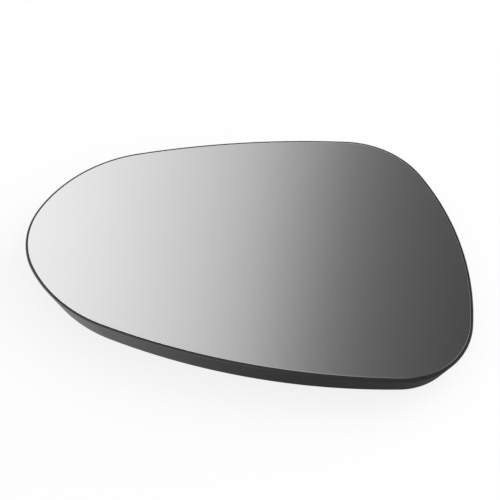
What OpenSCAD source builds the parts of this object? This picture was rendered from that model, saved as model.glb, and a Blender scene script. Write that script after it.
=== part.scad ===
// Glass for a car door mirror: a convex mirror bonded into a moulded backing plate.
// The lengths are in millimetres and the angles in degrees.
// +X runs along the glass to its wide end, +Y to its top edge, and +Z out of the mirror face.
// The origin is on the axis of the clip collar, in the plane that the rear rim rests on.

/* [Glass outline] */
// Centre of the nose arc, left of the collar's axis
nose_x = 50; // [40:0.5:60]
// Centre of the nose arc, above the collar's axis
nose_y = 8.7; // [4:0.1:14]
// Radius of the nose's tip
nose_r = 31.1; // [26:0.1:38]
// Radius of the cheek above the tip
upper_cheek_r = 55; // [42:0.5:70]
// Direction in which the tip runs into the upper cheek
upper_cheek_from = 151; // [140:1:165]
// Radius of the cheek below the tip
lower_cheek_r = 58; // [44:0.5:74]
// Direction in which the tip runs into the lower cheek
lower_cheek_from = 206; // [195:1:215]
// Centre of the upper corner arc, right of the collar's axis
shoulder_x = 46; // [38:0.1:54]
// Centre of the upper corner arc, above the collar's axis
shoulder_y = 23.1; // [19:0.1:26]
// Radius of the upper corner
shoulder_r = 34.9; // [31:0.1:39]
// Centre of the lower corner arc, right of the collar's axis
heel_x = 63.9; // [54:0.1:70]
// Centre of the lower corner arc, below the collar's axis
heel_y = 27.9; // [23:0.1:32]
// Radius of the lower corner
heel_r = 28; // [22:0.1:34]
// Radius of the long top edge
top_edge_r = 435; // [260:1:900]
// Radius of the wide end
end_edge_r = 114; // [95:1:150]
// Radius of the long bottom edge
bottom_edge_r = 270; // [200:1:500]

/* [Mirror glass] */
// Radius of the convex mirror face
mirror_r = 1250; // [1200:10:1500]
// Thickness of the glass
glass_t = 2; // [1.6:0.1:3]
// Width of the ground seam on the front edge
seam_w = 0.35; // [0.2:0.05:0.6]

/* [Adhesive pad] */
// Thickness of the pad between the glass and the plate
pad_t = 0.8; // [0.5:0.1:1.5]
// Clearance between the pad and the edge of its pocket
pad_gap = 0.3; // [0.1:0.05:0.6]

/* [Backing plate] */
// Height of the mirror face's crown above the rear rim
crown_h = 17.5; // [15:0.1:22]
// Thickness of the floor under the pad
floor_t = 1.8; // [1.4:0.1:2.6]
// Clearance between the edge of the glass and the lip
glass_gap = 0.15; // [0.05:0.05:0.4]
// Width of the lip round the glass
lip_w = 0.8; // [0.5:0.05:1.2]
// How far the lip stays below the mirror face
lip_drop = 0.2; // [0.1:0.05:0.4]
// Radius that rounds the lip's outer edge
lip_round = 0.6; // [0.3:0.05:0.8]
// Height of the straight band below the rounding
lip_band = 0.4; // [0.3:0.1:2]
// Width of the ledge that carries the edge of the glass
ledge_w = 2.4; // [1.5:0.1:4]
// Thickness of the skirt's wall
skirt_t = 1.6; // [1.2:0.1:2.2]
// How far the rear rim lies inside the lip's edge
skirt_in = 4.8; // [2:0.1:7]
// Width of the break on the rear rim's outer edge
rim_break = 0.3; // [0.1:0.05:0.6]

/* [Clip collar] */
// Bore radius of the collar
collar_r = 26; // [24:0.5:28]
// Thickness of the collar's wall
collar_t = 2; // [1.6:0.1:2.6]
// Number of snap fingers in the collar
finger_count = 4; // [3:1:5]
// Angle that each snap finger takes up
finger_deg = 28; // [20:1:36]
// Width of the slots beside a finger
slot_w = 1.6; // [1:0.1:2.5]
// Depth of the groove inside a finger, behind its barb
undercut = 0.9; // [0.5:0.1:1.1]
// Height of the barb above the collar's mouth
barb_h = 3.6; // [2.4:0.1:5]
// Width of the lead-in at a finger's mouth
lead_in = 0.8; // [0.4:0.1:1.2]
// How far the mould's core reached inside the bore
core_gap = 0.2; // [0.1:0.05:0.4]
// Width of the key notch at the top of the collar
key_w = 5; // [3:0.5:8]

/* [Ribs] */
// Thickness of the ribs
rib_t = 1.2; // [0.8:0.1:1.6]
// Height of the ribs' edge above the rear rim
rib_edge_z = 7.5; // [5:0.1:9]
// Half the angle between the ribs that stand on one collar segment
rib_spread = 16; // [10:1:20]
// Reach of the gusset between a rib and the collar
gusset_w = 8; // [4:0.5:10]
// Height of the gusset's edge above the rear rim
gusset_z = 2; // [0.5:0.1:4]
// Distance from the lip's edge to the stiffening ring
ring_in = 15; // [10:0.5:20]

/* [Hidden] */

// How far a chord may leave the true outline
chord_sag = 0.012;
// Roundness of the collar and of the balls that shape the curved faces
round_fn = 144;
ball_fn = 256;
// Angle that one facet of the lip's rounding takes up
round_step = 30;
// How far a cutter runs past what it cuts
past = 1;

// Depths of the curved faces below the mirror face, measured along the mirror's radius
ledge_depth = glass_t;
floor_depth = ledge_depth + pad_t;
rear_depth = floor_depth + floor_t;
// Depth at which the collar and the ribs end inside the floor
root_depth = floor_depth + floor_t / 2;

// Insets from the edge of the glass, negative outside it
pocket_inset = -glass_gap;
lip_inset = pocket_inset - lip_w;
rim_inset = lip_inset + skirt_in;
// Depths at which the lip's rounding and its straight band end
round_depth = lip_drop + lip_round;
band_depth = round_depth + lip_band;

collar_outer_r = collar_r + collar_t;
// Angle between the fingers, and the direction of the first one
finger_step = 360 / finger_count;
first_finger = finger_step / 2;
// Half the angle of a slot, and the angle from a finger's middle to a slot's
slot_half = asin(slot_w / 2 / collar_r);
slot_turn = finger_deg / 2 + slot_half;
// Direction of the key notch: the middle of the collar segment nearest the top
key_turn = finger_step * round(90 / finger_step);

// A disc is [centre x, centre y, radius]. The outline is convex and runs from disc to disc.

// The larger disc that touches disc c from outside in direction a
function cheek(c, r, a) = [c.x - (r - c.z) * cos(a), c.y - (r - c.z) * sin(a), r];

// The disc of radius r whose edge runs smoothly from disc c to disc d, anticlockwise
function bridge(c, d, r) =
    let (
        way = [d.x - c.x, d.y - c.y],
        u = way / norm(way),
        from_c = r - c.z,
        from_d = r - d.z,
        along = (from_c * from_c - from_d * from_d + way * way) / (2 * norm(way)),
        aside = sqrt(from_c * from_c - along * along)
    )
    [c.x + u.x * along - u.y * aside, c.y + u.y * along + u.x * aside, r];

// Direction in which a small disc touches the large disc round it
function touch(small, large) = atan2(small.y - large.y, small.x - large.x);

tip = [-nose_x, nose_y, nose_r];
lower_cheek = cheek(tip, lower_cheek_r, lower_cheek_from);
heel = [heel_x, -heel_y, heel_r];
shoulder = [shoulder_x, shoulder_y, shoulder_r];
upper_cheek = cheek(tip, upper_cheek_r, upper_cheek_from);
bottom_edge = bridge(lower_cheek, heel, bottom_edge_r);
end_edge = bridge(heel, shoulder, end_edge_r);
top_edge = bridge(shoulder, upper_cheek, top_edge_r);

// Each arc of the outline as its disc and the direction in which it starts
arcs = [
    [tip, upper_cheek_from],
    [lower_cheek, lower_cheek_from],
    [bottom_edge, touch(lower_cheek, bottom_edge)],
    [heel, touch(heel, bottom_edge)],
    [end_edge, touch(heel, end_edge)],
    [shoulder, touch(shoulder, end_edge)],
    [top_edge, touch(shoulder, top_edge)],
    [upper_cheek, touch(upper_cheek, top_edge)]
];

// Angle from direction a to direction b, anticlockwise
function turn(a, b) = (b - a) - 360 * floor((b - a) / 360);

// Points along the glass's edge moved inwards by inset, the same number for every inset
function outline(inset) = [
    for (i = [0:len(arcs) - 1])
        let (
            disc = arcs[i][0],
            start = arcs[i][1],
            sweep = turn(start, arcs[(i + 1) % len(arcs)][1]),
            steps = ceil(sweep / (2 * acos(1 - chord_sag / disc.z)))
        )
        for (k = [0:steps - 1])
            let (a = start + sweep * k / steps)
            [disc.x + (disc.z - inset) * cos(a), disc.y + (disc.z - inset) * sin(a)]
];

// Height of the curved face that lies a depth below the mirror face, over point p
function face_z(p, depth) =
    let (r = mirror_r - depth)
    crown_h - mirror_r + sqrt(r * r - p.x * p.x - p.y * p.y);

// The outline with each point at height z
function level_ring(inset, z) = [for (p = outline(inset)) [p.x, p.y, z]];

// The outline with each point a depth below the mirror face
function face_ring(inset, depth) = [for (p = outline(inset)) [p.x, p.y, face_z(p, depth)]];

// Solid through rings of points, from the lowest ring to the highest
module loft(rings) {
    n = len(rings[0]);
    polyhedron(
        points = [for (ring = rings) each ring],
        faces = [
            [for (i = [0:n - 1]) i],
            [for (i = [0:n - 1]) len(rings) * n - 1 - i],
            for (k = [0:len(rings) - 2], i = [0:n - 1])
                let (j = (i + 1) % n)
                each [
                    [k * n + i, (k + 1) * n + i, k * n + j],
                    [k * n + j, (k + 1) * n + i, (k + 1) * n + j]
                ]
        ]
    );
}

// Everything below the curved face at a depth below the mirror face
module below_face(depth) {
    translate([0, 0, crown_h - mirror_r])
        rotate([90, 0, 90])
            sphere(r = mirror_r - depth, $fn = ball_fn);
}

// Upright prism over the outline
module prism(inset, z_low, z_high) {
    translate([0, 0, z_low])
        linear_extrude(height = z_high - z_low)
            polygon(outline(inset));
}

// Prism over the outline, above the curved face at a depth
module above_face(inset, depth) {
    difference() {
        prism(inset, 0, crown_h + past);
        below_face(depth);
    }
}

// Outer form of the plate: tapered skirt, straight band and rounded lip. The last facet of the
// rounding runs on above the lip, where the curved cut ends it.
module plate_form() {
    run_out = lip_inset + lip_round + past;
    intersection() {
        loft([
            level_ring(rim_inset + rim_break, 0),
            level_ring(rim_inset, rim_break),
            face_ring(lip_inset, band_depth),
            for (a = [0:round_step:90 - round_step])
                face_ring(lip_inset + lip_round * (1 - cos(a)), round_depth - lip_round * sin(a)),
            face_ring(run_out, lip_drop - past * tan(round_step / 2)),
            level_ring(run_out, crown_h + past)
        ]);
        below_face(lip_drop);
    }
}

// Space inside the skirt's wall, or inside a part of its thickness
module skirt_space(wall, depth) {
    intersection() {
        loft([
            level_ring(rim_inset + wall, -past),
            level_ring(rim_inset + wall, 0),
            face_ring(lip_inset + wall, band_depth),
            level_ring(lip_inset + wall, crown_h + past)
        ]);
        below_face(depth);
    }
}

// What the mould's core takes out along one finger: the lead-in at the mouth, the groove behind
// the barb, and the slit in the floor through which the core left
module finger_core(i) {
    inner = collar_r - core_gap;
    groove_r = collar_r + undercut;
    sweep = finger_deg + 2 * slot_half;
    rotate([0, 0, first_finger + i * finger_step - sweep / 2])
        rotate_extrude(angle = sweep, $fn = round_fn)
            polygon([
                [inner, -past],
                [collar_r + lead_in + past, -past],
                [collar_r, lead_in],
                [collar_r, barb_h],
                [groove_r, barb_h + undercut],
                [groove_r, crown_h],
                [inner, crown_h]
            ]);
}

// Radial cut through the collar's wall
module wall_cut(angle, width) {
    rotate([0, 0, angle])
        translate([collar_r - past, -width / 2, -past])
            cube([collar_t + 2 * past, width, crown_h + past]);
}

// Ring wall with the slots beside its fingers and its key notch
module collar() {
    intersection() {
        difference() {
            cylinder(r = collar_outer_r, h = crown_h, $fn = round_fn);
            translate([0, 0, -past])
                cylinder(r = collar_r, h = crown_h + 2 * past, $fn = round_fn);
            for (i = [0:finger_count - 1], side = [-1, 1])
                wall_cut(first_finger + i * finger_step + side * slot_turn, slot_w);
            wall_cut(key_turn, key_w);
        }
        below_face(root_depth);
    }
}

// One radial rib, from the collar's wall into the skirt
module radial_rib(angle) {
    start = collar_outer_r - collar_t / 2;
    rotate([0, 0, angle])
        rotate([90, 0, 0])
            linear_extrude(height = rib_t, center = true)
                polygon([
                    [start, gusset_z],
                    [collar_outer_r, gusset_z],
                    [collar_outer_r + gusset_w, rib_edge_z],
                    [nose_x + nose_r + heel_x, rib_edge_z],
                    [nose_x + nose_r + heel_x, crown_h],
                    [start, crown_h]
                ]);
}

// Ring that follows the outline and ties the radial ribs together
module stiffening_ring() {
    inset = lip_inset + ring_in;
    difference() {
        prism(inset, rib_edge_z, crown_h);
        prism(inset + rib_t, rib_edge_z - past, crown_h + past);
    }
}

// All ribs, cut to end inside the skirt's wall and inside the floor
module ribs() {
    intersection() {
        union() {
            for (i = [0:finger_count - 1]) {
                radial_rib(i * finger_step - rib_spread);
                radial_rib(i * finger_step + rib_spread);
            }
            stiffening_ring();
        }
        skirt_space(skirt_t / 2, root_depth);
    }
}

// Convex mirror with a ground seam round its front edge
module mirror_glass() {
    run_out = seam_w + past;
    color([0.72, 0.73, 0.74])
        difference() {
            intersection() {
                loft([
                    level_ring(0, 0),
                    face_ring(0, seam_w),
                    face_ring(run_out, -past),
                    level_ring(run_out, crown_h + 2 * past)
                ]);
                below_face(0);
            }
            below_face(ledge_depth);
        }
}

// Double-sided pad that bonds the glass into the plate's pocket
module adhesive_pad() {
    color([0.12, 0.12, 0.13])
        intersection() {
            above_face(ledge_w + pad_gap, floor_depth);
            below_face(ledge_depth);
        }
}

// One moulding: lip, ledge, floor, skirt, ribs and clip collar
module backing_plate() {
    color([0.16, 0.16, 0.155]) {
        difference() {
            union() {
                difference() {
                    plate_form();
                    skirt_space(skirt_t, rear_depth);
                }
                collar();
                ribs();
            }
            above_face(pocket_inset, ledge_depth);
            above_face(ledge_w, floor_depth);
            for (i = [0:finger_count - 1])
                finger_core(i);
        }
    }
}

mirror_glass();
adhesive_pad();
backing_plate();
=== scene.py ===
"""Looks of a car door mirror glass: the mirror sheet, its adhesive pad and the moulded backing plate.

Lengths are in metres in the row's frame: +X to the wide end of the glass, +Z out of the mirror face.
"""

from math import cos, radians, sin, sqrt

import bmesh
import bpy
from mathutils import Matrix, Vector
from mathutils.geometry import convex_hull_2d


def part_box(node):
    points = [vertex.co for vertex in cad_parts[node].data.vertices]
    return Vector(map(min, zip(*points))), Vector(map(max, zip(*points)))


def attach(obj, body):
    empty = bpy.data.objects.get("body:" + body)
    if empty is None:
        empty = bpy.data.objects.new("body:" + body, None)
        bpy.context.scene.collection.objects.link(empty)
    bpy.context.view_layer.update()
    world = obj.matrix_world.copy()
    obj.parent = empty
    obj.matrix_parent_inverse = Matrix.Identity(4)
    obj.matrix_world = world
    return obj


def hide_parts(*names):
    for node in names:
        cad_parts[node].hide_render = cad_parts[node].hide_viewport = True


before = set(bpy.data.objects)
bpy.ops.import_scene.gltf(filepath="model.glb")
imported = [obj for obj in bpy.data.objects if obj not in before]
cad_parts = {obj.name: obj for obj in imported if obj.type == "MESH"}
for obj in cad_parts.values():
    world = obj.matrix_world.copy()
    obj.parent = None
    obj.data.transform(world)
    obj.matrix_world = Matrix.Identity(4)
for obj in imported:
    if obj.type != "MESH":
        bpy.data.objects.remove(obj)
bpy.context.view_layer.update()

MM = 0.001

# Sizes of the glass, as the CAD model has them
MIRROR_R = 1250 * MM
GLASS_T = 2 * MM
SEAM_W = 0.35 * MM
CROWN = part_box("mirror_glass")[1].z

# Mesh of the mirror sheet
FACE_RINGS = 24
SEAM_STEPS = 4
# Points of its outline that lie closer together than this count as one
POINT_GAP = 0.2 * MM

# Points of the plate and the pad that lie closer together than this are joined
WELD_GAP = 0.0005 * MM
# Their edges are sharp from this angle on, so the 45 degree breaks shade as rounded
SHARP_FROM = radians(50)

# Materials: a noise mixes each pair of colours and each pair of roughness values
SILVER = (0.885, 0.885, 0.885), (0.91, 0.91, 0.91)
SILVER_ROUGHNESS = 0.015, 0.03
HAZE_SCALE = 60
SEAM = (0.79, 0.80, 0.80), (0.89, 0.90, 0.90)
SEAM_ROUGHNESS = 0.1, 0.2
GRIT_SCALE = 9000
PLASTIC = (0.021, 0.021, 0.02), (0.027, 0.027, 0.0255)
PLASTIC_ROUGHNESS = 0.26, 0.34
PLASTIC_SCALE = 35
GRAIN_SCALE = 3800
GRAIN_STRENGTH = 0.25
GRAIN_DEPTH = 0.03 * MM
FOAM = (0.02, 0.02, 0.022), (0.07, 0.07, 0.075)
FOAM_ROUGHNESS = 0.9
CELL_SCALE = 2600

# Camera: the photograph looks at the glass from 36 degrees off its normal
IMAGE_PX = 500
FOCAL_PX = 1757
SENSOR_MM = 36
CAMERA_TILT = radians(36)
CAMERA_FAR = 690 * MM
CLIP_START = 10 * MM
AIM_X = 6.95 * MM
AIM_Y = 1.55 * MM

# Each list of levels is what gloss shows from left to right, a span to each side of a middle.
# The studio above is bright on the left and dark on the right, and leans a little
SKY_SPAN = 0.3
SKY_LEAN = -0.14
SKY_LEVELS = [1.0, 0.91, 0.72, 0.53, 0.175, 0.095, 0.055]
# The backdrop, the upper and the lower front, and the white sweep that the object stands on
SIDES_SPAN = 0.8
BACKDROP_LEVELS = [0.8, 0.8, 0.8, 0.8, 0.4, 0.13, 0.08]
FRONT_HIGH_LEVELS = [0.85, 0.85, 0.62, 0.28, 0.06, 0.04, 0.04]
FRONT_LOW_LEVELS = [2.6, 2.3, 0.5, 0.07, 0.06, 0.07, 0.08]
SWEEP_LEVELS = [2.0, 2.0, 2.0, 2.1, 2.1, 1.8, 1.7]
# The bench below: dark close under the object, brighter to the left
BENCH_MIDDLE = -0.2
BENCH_SPAN = 0.6
BENCH_LEVELS = [1.8, 1.5, 1.2, 0.11, 0.07, 0.13, 0.18]
# The far right is a plain grey
FAR_LEVEL = 0.32
# Levels are set as shares of this one, because the colours of a ramp stop at 1
TOP_LEVEL = 4

# Heights between which one part of the studio turns into the next, as the Z of a direction
BENCH_EDGE = -0.78, -0.68
SWEEP_EDGE = -0.25, -0.1
FRONT_EDGE = 0.05, 0.2
SKY_EDGE = 0.4, 0.55
# The same from the front to the back, as its Y, and to the far right, as its X
BACK_EDGE = 0.0, 0.3
FAR_EDGE = 0.52, 0.95

# Light on the surfaces: an even white fill and one soft lamp
WHITE = 1, 1, 1, 1
FILL_LEVEL = 0.8
KEY_PLACE = 0.85, 0.45, 0.5
KEY_SIZE = 1.0
KEY_POWER = 9

# The floor, and how much of its own brightness the camera sees; the rest is plain white
FLOOR_HALF = 3.0
FLOOR_COLOUR = 0.93, 0.93, 0.93, 1
FLOOR_SHOWN = 0.18

# Slots of the mirror sheet's materials
FACE_SLOT = 0
SEAM_SLOT = 1

# Sockets of a node that mixes colours
MIX_FIRST = 6
MIX_SECOND = 7
MIX_RESULT = 2


# Node helpers

def new_material(name):
    material = bpy.data.materials.new(name)
    material.use_nodes = True
    tree = material.node_tree
    return material, tree, tree.nodes["Principled BSDF"]


def node(tree, kind, links=(), **values):
    """Adds a node, sets its properties and sockets, and links (socket, output) pairs into it."""
    made = tree.nodes.new(kind)
    for key, value in values.items():
        if hasattr(made, key):
            setattr(made, key, value)
        else:
            made.inputs[key.replace("_", " ")].default_value = value
    for socket, output in links:
        tree.links.new(output, made.inputs[socket])
    return made


def noise(tree, scale, detail):
    """Noise from about 0 to 1 that is fixed to the piece."""
    place = node(tree, "ShaderNodeTexCoord")
    made = node(tree, "ShaderNodeTexNoise", [("Vector", place.outputs["Object"])],
                Scale=scale, Detail=detail)
    return made.outputs["Fac"]


def spread(tree, share, low, high):
    """Turns a 0 to 1 output into a value from low to high."""
    return node(tree, "ShaderNodeMapRange", [("Value", share)],
                To_Min=low, To_Max=high).outputs["Result"]


def share_of(tree, output, low, high):
    """Turns an output from low to high into 0 to 1."""
    return node(tree, "ShaderNodeMapRange", [("Value", output)],
                From_Min=low, From_Max=high).outputs["Result"]


def mixed(tree, share, first, second):
    """Mixes two colours, each a plain colour or an output, by a 0 to 1 output."""
    mix = node(tree, "ShaderNodeMix", [("Factor", share)], data_type="RGBA")
    for socket, colour in (MIX_FIRST, first), (MIX_SECOND, second):
        if isinstance(colour, tuple):
            mix.inputs[socket].default_value = (*colour, 1)
        else:
            tree.links.new(colour, mix.inputs[socket])
    return mix.outputs[MIX_RESULT]


def grey(level):
    """The colour that shows as a level once the world's gloss is multiplied by TOP_LEVEL."""
    return (level / TOP_LEVEL,) * 3


def graded(tree, output, middle, span, levels):
    """Turns an output from span below to span above a middle value into evenly spaced greys."""
    share = share_of(tree, output, middle - span, middle + span)
    ramp = node(tree, "ShaderNodeValToRGB", [("Fac", share)])
    ramp.color_ramp.interpolation = "B_SPLINE"
    elements = ramp.color_ramp.elements
    last = len(levels) - 1
    for k in range(1, last):
        elements.new(k / last)
    for element, level in zip(elements, levels):
        element.color = (*grey(level), 1)
    return ramp.outputs["Color"]


def stacked(tree, output, edge, below, above):
    """Colour that changes from below to above while an output crosses an edge (low, high)."""
    return mixed(tree, share_of(tree, output, *edge), below, above)


# Materials

def silvered_glass():
    """Metal coating under clear glass, with a faint haze that is not quite even."""
    material, tree, bsdf = new_material("silvered_glass")
    bsdf.inputs["Metallic"].default_value = 1
    haze = noise(tree, HAZE_SCALE, detail=3)
    tree.links.new(mixed(tree, haze, *SILVER), bsdf.inputs["Base Color"])
    tree.links.new(spread(tree, haze, *SILVER_ROUGHNESS), bsdf.inputs["Roughness"])
    return material


def seamed_glass():
    """The seam along the edge of the glass, ground and polished, with the coating behind it."""
    material, tree, bsdf = new_material("seamed_glass")
    bsdf.inputs["Metallic"].default_value = 1
    grit = noise(tree, GRIT_SCALE, detail=1)
    tree.links.new(mixed(tree, grit, *SEAM), bsdf.inputs["Base Color"])
    tree.links.new(spread(tree, grit, *SEAM_ROUGHNESS), bsdf.inputs["Roughness"])
    return material


def plate_plastic():
    """Black moulded plastic with spark-eroded grain and a slow change of gloss."""
    material, tree, bsdf = new_material("plate_plastic")
    slow = noise(tree, PLASTIC_SCALE, detail=2)
    grain = noise(tree, GRAIN_SCALE, detail=2)
    tree.links.new(mixed(tree, slow, *PLASTIC), bsdf.inputs["Base Color"])
    tree.links.new(spread(tree, slow, *PLASTIC_ROUGHNESS), bsdf.inputs["Roughness"])
    bump = node(tree, "ShaderNodeBump", [("Height", grain)],
                Strength=GRAIN_STRENGTH, Distance=GRAIN_DEPTH)
    tree.links.new(bump.outputs["Normal"], bsdf.inputs["Normal"])
    return material


def pad_foam():
    """Closed-cell foam of the double-sided pad."""
    material, tree, bsdf = new_material("pad_foam")
    place = node(tree, "ShaderNodeTexCoord")
    cells = node(tree, "ShaderNodeTexVoronoi", [("Vector", place.outputs["Object"])],
                 Scale=CELL_SCALE)
    tree.links.new(mixed(tree, cells.outputs["Distance"], *FOAM), bsdf.inputs["Base Color"])
    bsdf.inputs["Roughness"].default_value = FOAM_ROUGHNESS
    return material


# Mirror sheet

def glass_edge():
    """Corner points of the glass's plan outline, each more than POINT_GAP from the last."""
    plan = [v.co.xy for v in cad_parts["mirror_glass"].data.vertices]
    edge = []
    for i in convex_hull_2d(plan):
        if not edge or (plan[i] - edge[-1]).length > POINT_GAP:
            edge.append(plan[i])
    if (edge[0] - edge[-1]).length < POINT_GAP:
        edge.pop()
    return edge


def moved_in(edge, inset):
    """The convex outline moved in, each point square to the line between its neighbours."""
    out = []
    for i, p in enumerate(edge):
        along = edge[(i + 1) % len(edge)] - edge[i - 1]
        inward = Vector((-along.y, along.x)).normalized()
        if inward.dot(-p) < 0:
            inward = -inward
        out.append(p + inward * inset)
    return out


def on_face(p, depth):
    """Point over p on the curved face that lies a depth below the mirror face."""
    r = MIRROR_R - depth
    return Vector((p.x, p.y, CROWN - MIRROR_R + sqrt(r * r - p.x * p.x - p.y * p.y)))


def add_ring(bm, edge, depth):
    """The outline as a ring of mesh points on the curved face at a depth."""
    return [bm.verts.new(on_face(p, depth)) for p in edge]


def add_face(bm, points, slot):
    face = bm.faces.new(points)
    face.material_index = slot
    face.smooth = True


def join_rings(bm, outer, inner, slot, sharp=False):
    """Band of faces between two rings, with a sharp edge along the inner one where asked."""
    n = len(outer)
    for i in range(n):
        j = (i + 1) % n
        add_face(bm, (outer[i], outer[j], inner[j], inner[i]), slot)
        if sharp:
            bm.edges.get((inner[i], inner[j])).smooth = False


def close_cap(bm, ring, edge, depth):
    """Fills a curved face from its edge ring to its middle."""
    last = ring
    for k in range(FACE_RINGS - 1, 0, -1):
        share = k / FACE_RINGS
        inner = add_ring(bm, [p * share for p in edge], depth)
        join_rings(bm, last, inner, FACE_SLOT)
        last = inner
    middle = bm.verts.new(on_face(Vector((0, 0)), depth))
    n = len(last)
    for i in range(n):
        add_face(bm, (last[i], last[(i + 1) % n], middle), FACE_SLOT)


def mirror_sheet():
    """The glass as a closed sheet: faces on spheres, a rounded ground seam and a straight edge."""
    edge = glass_edge()
    bm = bmesh.new()
    rear = add_ring(bm, edge, GLASS_T)
    last = rear
    for k in range(SEAM_STEPS + 1):
        turn = radians(90) * k / SEAM_STEPS
        inset = SEAM_W * (1 - cos(turn))
        depth = SEAM_W * (1 - sin(turn))
        ring = add_ring(bm, moved_in(edge, inset), depth)
        join_rings(bm, last, ring, SEAM_SLOT, sharp=k in (0, SEAM_STEPS))
        last = ring
    close_cap(bm, last, moved_in(edge, SEAM_W), 0)
    close_cap(bm, rear, edge, GLASS_T)
    bmesh.ops.recalc_face_normals(bm, faces=bm.faces)
    mesh = bpy.data.meshes.new("mirror_sheet")
    bm.to_mesh(mesh)
    bm.free()
    mesh.materials.append(silvered_glass())
    mesh.materials.append(seamed_glass())
    return mesh


# Backing plate and pad

def smooth_copy(cad_node, name, material):
    """The CAD solid with its faces joined, shaded smooth over the curves and sharp at the edges."""
    bm = bmesh.new()
    bm.from_mesh(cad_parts[cad_node].data)
    bmesh.ops.remove_doubles(bm, verts=bm.verts, dist=WELD_GAP)
    for face in bm.faces:
        face.smooth = True
        face.material_index = 0
    for edge in bm.edges:
        edge.smooth = len(edge.link_faces) == 2 and edge.calc_face_angle() < SHARP_FROM
    mesh = bpy.data.meshes.new(name)
    bm.to_mesh(mesh)
    bm.free()
    mesh.materials.clear()
    mesh.materials.append(material)
    return mesh


def add_piece(name, mesh, cad_node):
    """Adds a mesh as a piece that rides on the part's only body in place of a CAD node."""
    piece = bpy.data.objects.new(name, mesh)
    bpy.context.scene.collection.objects.link(piece)
    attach(piece, "root")
    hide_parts(cad_node)
    normals = piece.modifiers.new("face_normals", "WEIGHTED_NORMAL")
    normals.keep_sharp = True


# Studio

def add_camera():
    data = bpy.data.cameras.new("camera")
    data.sensor_width = SENSOR_MM
    data.lens = SENSOR_MM * FOCAL_PX / IMAGE_PX
    data.clip_start = CLIP_START
    camera = bpy.data.objects.new("camera", data)
    bpy.context.scene.collection.objects.link(camera)
    aim = Vector((AIM_X, AIM_Y, CROWN))
    camera.location = aim + CAMERA_FAR * Vector((0, -sin(CAMERA_TILT), cos(CAMERA_TILT)))
    camera.rotation_euler = (CAMERA_TILT, 0, 0)
    bpy.context.scene.camera = camera


def add_key_lamp():
    """Soft lamp, aimed at the origin and left out of gloss."""
    data = bpy.data.lights.new("key", "AREA")
    data.shape = "SQUARE"
    data.size = KEY_SIZE
    data.energy = KEY_POWER
    lamp = bpy.data.objects.new("key", data)
    bpy.context.scene.collection.objects.link(lamp)
    lamp.location = KEY_PLACE
    lamp.rotation_euler = (-Vector(KEY_PLACE)).to_track_quat("-Z", "Y").to_euler()
    lamp.visible_glossy = False


def floor_material():
    """Pale and matt; the camera sees it nearly white, with a little of the shadow on it."""
    material, tree, bsdf = new_material("floor")
    bsdf.inputs["Base Color"].default_value = FLOOR_COLOUR
    bsdf.inputs["Roughness"].default_value = 1
    bsdf.inputs["Specular IOR Level"].default_value = 0
    light = node(tree, "ShaderNodeLightPath")
    whitened = spread(tree, light.outputs["Is Camera Ray"], 0, 1 - FLOOR_SHOWN)
    white = node(tree, "ShaderNodeEmission", Strength=1.0)
    mix = node(tree, "ShaderNodeMixShader",
               [(0, whitened), (1, bsdf.outputs[0]), (2, white.outputs[0])])
    tree.links.new(mix.outputs[0], tree.nodes["Material Output"].inputs["Surface"])
    return material


def add_floor():
    bm = bmesh.new()
    bmesh.ops.create_grid(bm, x_segments=2, y_segments=2, size=FLOOR_HALF)
    mesh = bpy.data.meshes.new("floor")
    bm.to_mesh(mesh)
    bm.free()
    mesh.materials.append(floor_material())
    floor = bpy.data.objects.new("floor", mesh)
    bpy.context.scene.collection.objects.link(floor)
    floor.visible_glossy = False


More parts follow.
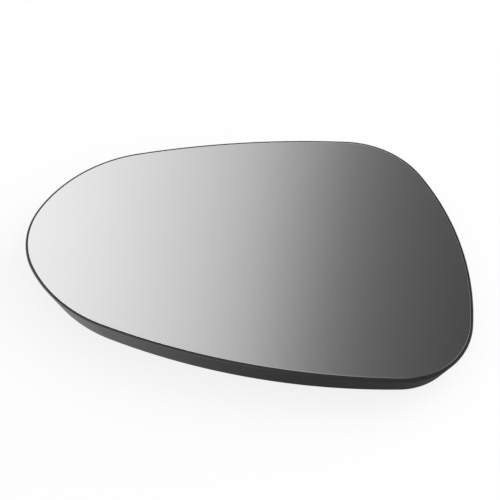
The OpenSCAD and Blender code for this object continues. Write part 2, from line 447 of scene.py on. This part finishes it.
def gloss_studio(tree):
    """The studio that gloss shows all round, as one colour for each direction."""
    direction = node(tree, "ShaderNodeTexCoord").outputs["Generated"]
    axes = node(tree, "ShaderNodeSeparateXYZ", [("Vector", direction)])
    x, y, z = axes.outputs["X"], axes.outputs["Y"], axes.outputs["Z"]
    lean = node(tree, "ShaderNodeMath", [(0, y)], operation="MULTIPLY")
    lean.inputs[1].default_value = SKY_LEAN
    across = node(tree, "ShaderNodeMath", [(0, x), (1, lean.outputs[0])], operation="ADD")
    # The sky's middle is where the middle of the mirror looks in the photograph's view
    sky = graded(tree, across.outputs[0], SKY_LEAN * sin(CAMERA_TILT), SKY_SPAN, SKY_LEVELS)
    bench = graded(tree, x, BENCH_MIDDLE, BENCH_SPAN, BENCH_LEVELS)
    backdrop = graded(tree, x, 0, SIDES_SPAN, BACKDROP_LEVELS)
    front_low = graded(tree, x, 0, SIDES_SPAN, FRONT_LOW_LEVELS)
    front_high = graded(tree, x, 0, SIDES_SPAN, FRONT_HIGH_LEVELS)
    sweep = graded(tree, x, 0, SIDES_SPAN, SWEEP_LEVELS)
    behind = stacked(tree, z, SWEEP_EDGE, sweep, backdrop)
    front = stacked(tree, z, FRONT_EDGE, front_low, front_high)
    sides = stacked(tree, y, BACK_EDGE, front, behind)
    lower = stacked(tree, z, BENCH_EDGE, bench, sides)
    upper = stacked(tree, y, BACK_EDGE, front_high, sky)
    near = stacked(tree, z, SKY_EDGE, lower, upper)
    return stacked(tree, x, FAR_EDGE, near, grey(FAR_LEVEL))


def build_world():
    """White to the camera, an even fill for the surfaces and the studio in gloss."""
    world = bpy.data.worlds.new("studio")
    bpy.context.scene.world = world
    world.use_nodes = True
    tree = world.node_tree
    tree.nodes.clear()
    light = node(tree, "ShaderNodeLightPath")
    fill = node(tree, "ShaderNodeBackground", Color=WHITE, Strength=FILL_LEVEL)
    gloss = node(tree, "ShaderNodeBackground", [("Color", gloss_studio(tree))], Strength=TOP_LEVEL)
    white = node(tree, "ShaderNodeBackground", Color=WHITE, Strength=1.0)
    lit = node(tree, "ShaderNodeMixShader",
               [(0, light.outputs["Is Glossy Ray"]), (1, fill.outputs[0]), (2, gloss.outputs[0])])
    seen = node(tree, "ShaderNodeMixShader",
                [(0, light.outputs["Is Camera Ray"]), (1, lit.outputs[0]), (2, white.outputs[0])])
    node(tree, "ShaderNodeOutputWorld", [("Surface", seen.outputs[0])])


add_camera()
add_piece("mirror_sheet", mirror_sheet(), "mirror_glass")
add_piece("moulded_plate", smooth_copy("backing_plate", "moulded_plate", plate_plastic()),
          "backing_plate")
add_piece("bonding_pad", smooth_copy("adhesive_pad", "bonding_pad", pad_foam()),
          "adhesive_pad")

add_floor()
build_world()
add_key_lamp()
bpy.context.scene.view_settings.view_transform = "Standard"
